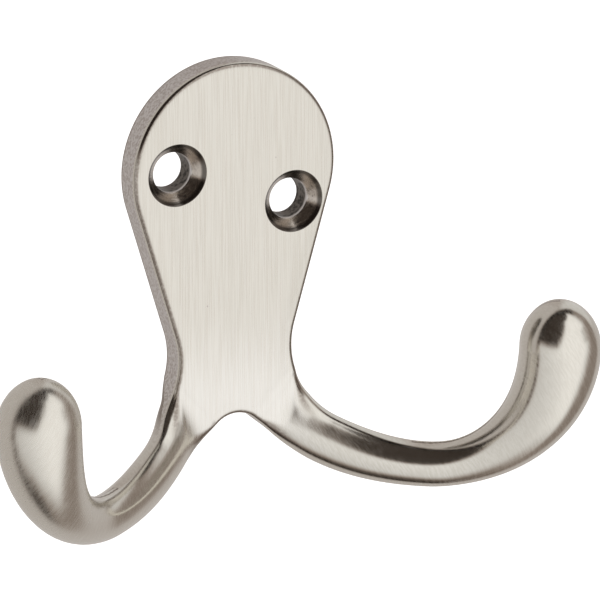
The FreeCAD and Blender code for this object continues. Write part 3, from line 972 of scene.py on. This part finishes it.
def tent_glow(direction):
    """Brightness of the light tent in each direction: parts that are products of soft steps.

    A bright panel fills the front and gains light to the upper right.  From 40 degrees below to 30 above
    the horizon its right edge leans out by 0.4 of a degree for each degree of height, and left of 35
    degrees its lower edge rises by half a degree for each degree.  A notch dims its upper right.  A dark
    card hides its upper left: its right edge leans out by 0.6, and by 5 more from 61 degrees up, and its
    lower edge falls by 0.1 to the right.  Dim cloth hangs beside the panel.  A pale table and wall lie
    behind, lighter at the upper right, with a dark gap before them at the left and a dark slit overhead.
    """
    azimuth, elevation = bearing(direction)
    x, y, _ = np.moveaxis(direction, -1, 0)
    cloth = CLOTH_GLOW + CLOTH_GAIN * ease(azimuth, *CLOTH_RISE)
    panel_glow = PANEL_GLOW + PANEL_GAIN * ease(azimuth + 0.6 * elevation, *PANEL_RISE)
    right_edge = azimuth - 0.4 * np.clip(elevation + 40, 0, 70)
    low_edge = elevation - 0.5 * np.clip(-azimuth - 35, 0, 60)
    panel = ease(azimuth, *PANEL_LEFT) * ease(right_edge, *PANEL_RIGHT) * ease(low_edge, *PANEL_BOTTOM)
    notch = ease(azimuth, *NOTCH_LEFT) * ease(elevation, *NOTCH_BOTTOM) * ease(elevation, *NOTCH_TOP)
    card_edge = azimuth - 0.6 * (elevation - 5) - 5 * np.clip(elevation - 61, 0, 20)
    card = ease(card_edge, *CARD_RIGHT) * ease(elevation + 0.1 * (azimuth + 60), *CARD_BOTTOM)
    front = (cloth + (panel_glow - cloth) * panel * (1 - NOTCH_DARK * notch)) * (1 - CARD_DARK * card)

    behind = ease(y, *BACK_FRONT)
    upper_right = ease(elevation, *BACK_BOTTOM) * ease(x, *BACK_LEFT)
    back = BACK_GLOW + upper_right * (BACK_GAIN * ease(azimuth, *BACK_RIGHT) - BACK_LOSS)
    gap = ease(y, *GAP_FRONT) * (1 - behind) * ease(x, *GAP_RIGHT)
    slit = ease(y, *SLIT_FRONT) * ease(y, *SLIT_BACK) * ease(elevation, *SLIT_BOTTOM) * ease(x, *SLIT_LEFT)
    return (front * (1 - behind) * (1 - GAP_DARK * gap) + back * behind) * (1 - SLIT_DARK * slit)


# Colour of the floor, light of the surroundings where they are not seen, and the camera's sensor and range
FLOOR_COLOUR = (0.8, 0.8, 0.8)
ROOM_LIGHT = 0.5
SENSOR_WIDTH = 36
CLIP_END = 10

# The floor's inner radius, and its outer one as a share of the tent's
FLOOR_INNER = 1 * MM
FLOOR_OUTER = 0.95

# Triangles of a mesh that is all quads
NO_TRIANGLES = np.zeros((0, 3), dtype=int)


class HOOK_OT_studio(bpy.types.Operator):
    """Build the stage: light tent, pale floor, white surroundings and camera"""

    bl_idname = "robe_hook.studio"
    bl_label = "Studio"

    def execute(self, context):
        scene, studio = context.scene, context.scene.hook_studio
        self.add_tent(studio)
        self.add_floor(studio)
        self.whiten(scene)
        self.add_camera(scene, studio)
        scene.view_settings.view_transform = "Standard"
        return {"FINISHED"}

    def add_tent(self, studio):
        """Sphere round the object: longitude and latitude on a grid, unseen by the camera itself."""
        longitude = np.linspace(0, FULL_TURN, TENT_COLUMNS, endpoint=False)
        latitude = np.linspace(-QUARTER_TURN, QUARTER_TURN, TENT_ROWS + 2)[1:-1, None]
        level = np.cos(latitude)
        height = np.broadcast_to(np.sin(latitude), (TENT_ROWS, TENT_COLUMNS))
        grid = np.stack([level * np.sin(longitude), -level * np.cos(longitude), height], axis=-1)
        points = grid.reshape(-1, 3)
        faces = grid_faces(TENT_ROWS, TENT_COLUMNS, True)
        tent = put_mesh("light_tent", points * studio.tent_radius, faces, NO_TRIANGLES)
        set_mark(tent.data, "glow", tent_glow(points))
        tent.data.shade_smooth()
        material = bpy.data.materials.new("tent_cloth")
        nodes = Nodes(material)
        glow = nodes.mark("glow")
        shade = nodes.mix_colour(nodes.ramp(glow, *CLOTH_TINT), opaque(DIM_CLOTH), opaque(WHITE))
        light = nodes.add("ShaderNodeEmission", Color=shade, Strength=glow)
        nodes.add("ShaderNodeOutputMaterial", Surface=light.outputs[0])
        material.cycles.emission_sampling = "NONE"
        tent.data.materials.append(material)
        tent.visible_camera = False
        tent.visible_shadow = False

    def add_floor(self, studio):
        """Round pale floor below the hook, lifted to white for the camera where no shadow falls."""
        radius = np.linspace(FLOOR_INNER, FLOOR_OUTER * studio.tent_radius, FLOOR_ROWS)[:, None, None]
        disc = radius * polar(np.linspace(0, FULL_TURN, FLOOR_COLUMNS, endpoint=False))
        height = np.full(disc.shape[:2], -studio.floor_drop)
        points = np.stack([disc[..., 0], disc[..., 1], height], axis=-1).reshape(-1, 3)
        floor = put_mesh("floor", points, grid_faces(FLOOR_ROWS, FLOOR_COLUMNS, True), NO_TRIANGLES)
        material = bpy.data.materials.new("pale_floor")
        nodes = Nodes(material)
        matt = nodes.add("ShaderNodeBsdfDiffuse", Color=opaque(FLOOR_COLOUR))
        lift = nodes.add("ShaderNodeEmission", Strength=nodes.times(nodes.seen(), studio.floor_lift))
        both = nodes.add("ShaderNodeAddShader", _0=matt.outputs[0], _1=lift.outputs[0])
        nodes.add("ShaderNodeOutputMaterial", Surface=both.outputs[0])
        floor.data.materials.append(material)
        floor.visible_glossy = False

    def whiten(self, scene):
        """White surroundings, as the camera and the metal see them, that give a softer light."""
        scene.world = bpy.data.worlds.new("white_room")
        nodes = Nodes(scene.world)
        strength = nodes.mix(nodes.seen(), ROOM_LIGHT, 1.0)
        room = nodes.add("ShaderNodeBackground", Color=opaque(WHITE), Strength=strength)
        nodes.add("ShaderNodeOutputWorld", Surface=room.outputs[0])

    def add_camera(self, scene, studio):
        """Camera on a line through its target, at an azimuth and elevation, turned by its roll."""
        azimuth, elevation, roll = studio.azimuth, studio.elevation, studio.roll
        level = math.cos(elevation)
        right = Vector((math.cos(azimuth), math.sin(azimuth), 0))
        ahead = Vector((-math.sin(azimuth) * level, math.cos(azimuth) * level, -math.sin(elevation)))
        up = right.cross(ahead)
        rolled_right = right * math.cos(roll) - up * math.sin(roll)
        rolled_up = right * math.sin(roll) + up * math.cos(roll)
        data = bpy.data.cameras.new("camera")
        camera = bpy.data.objects.new("camera", data)
        target = Vector((studio.target_x, -scene.hook_sizes.plate_thickness, studio.target_z))
        turned = Matrix((rolled_right, rolled_up, -ahead)).transposed().to_4x4()
        camera.matrix_world = Matrix.Translation(target - ahead * studio.distance) @ turned
        data.sensor_width = SENSOR_WIDTH
        data.lens = data.sensor_width * studio.distance / studio.view_width
        data.clip_end = CLIP_END
        scene.collection.objects.link(camera)
        scene.camera = camera


class HOOK_PT_sidebar(bpy.types.Panel):
    """Buttons and sizes of the robe hook"""

    bl_label = "Robe hook"
    bl_idname = "HOOK_PT_sidebar"
    bl_space_type = "VIEW_3D"
    bl_region_type = "UI"
    bl_category = "Robe hook"

    def draw(self, context):
        for operator in (HOOK_OT_casting, HOOK_OT_studio):
            self.layout.operator(operator.bl_idname)
        for group in (context.scene.hook_sizes, context.scene.hook_colours, context.scene.hook_studio):
            column = self.layout.column()
            for name in group.__annotations__:
                column.prop(group, name)


CLASSES = (CastingSizes, FinishColours, StudioSettings, HOOK_OT_casting, HOOK_OT_studio, HOOK_PT_sidebar)


def register():
    """Registers the classes and hangs the settings on the scene."""
    for kind in CLASSES:
        bpy.utils.register_class(kind)
    bpy.types.Scene.hook_sizes = bpy.props.PointerProperty(type=CastingSizes)
    bpy.types.Scene.hook_colours = bpy.props.PointerProperty(type=FinishColours)
    bpy.types.Scene.hook_studio = bpy.props.PointerProperty(type=StudioSettings)


def unregister():
    """Takes the settings and the classes away again."""
    for name in ("hook_sizes", "hook_colours", "hook_studio"):
        delattr(bpy.types.Scene, name)
    for kind in reversed(CLASSES):
        bpy.utils.unregister_class(kind)


def main():
    """Builds the hook and its studio."""
    register()
    bpy.ops.robe_hook.casting()
    bpy.ops.robe_hook.studio()


if __name__ == "__main__":
    main()
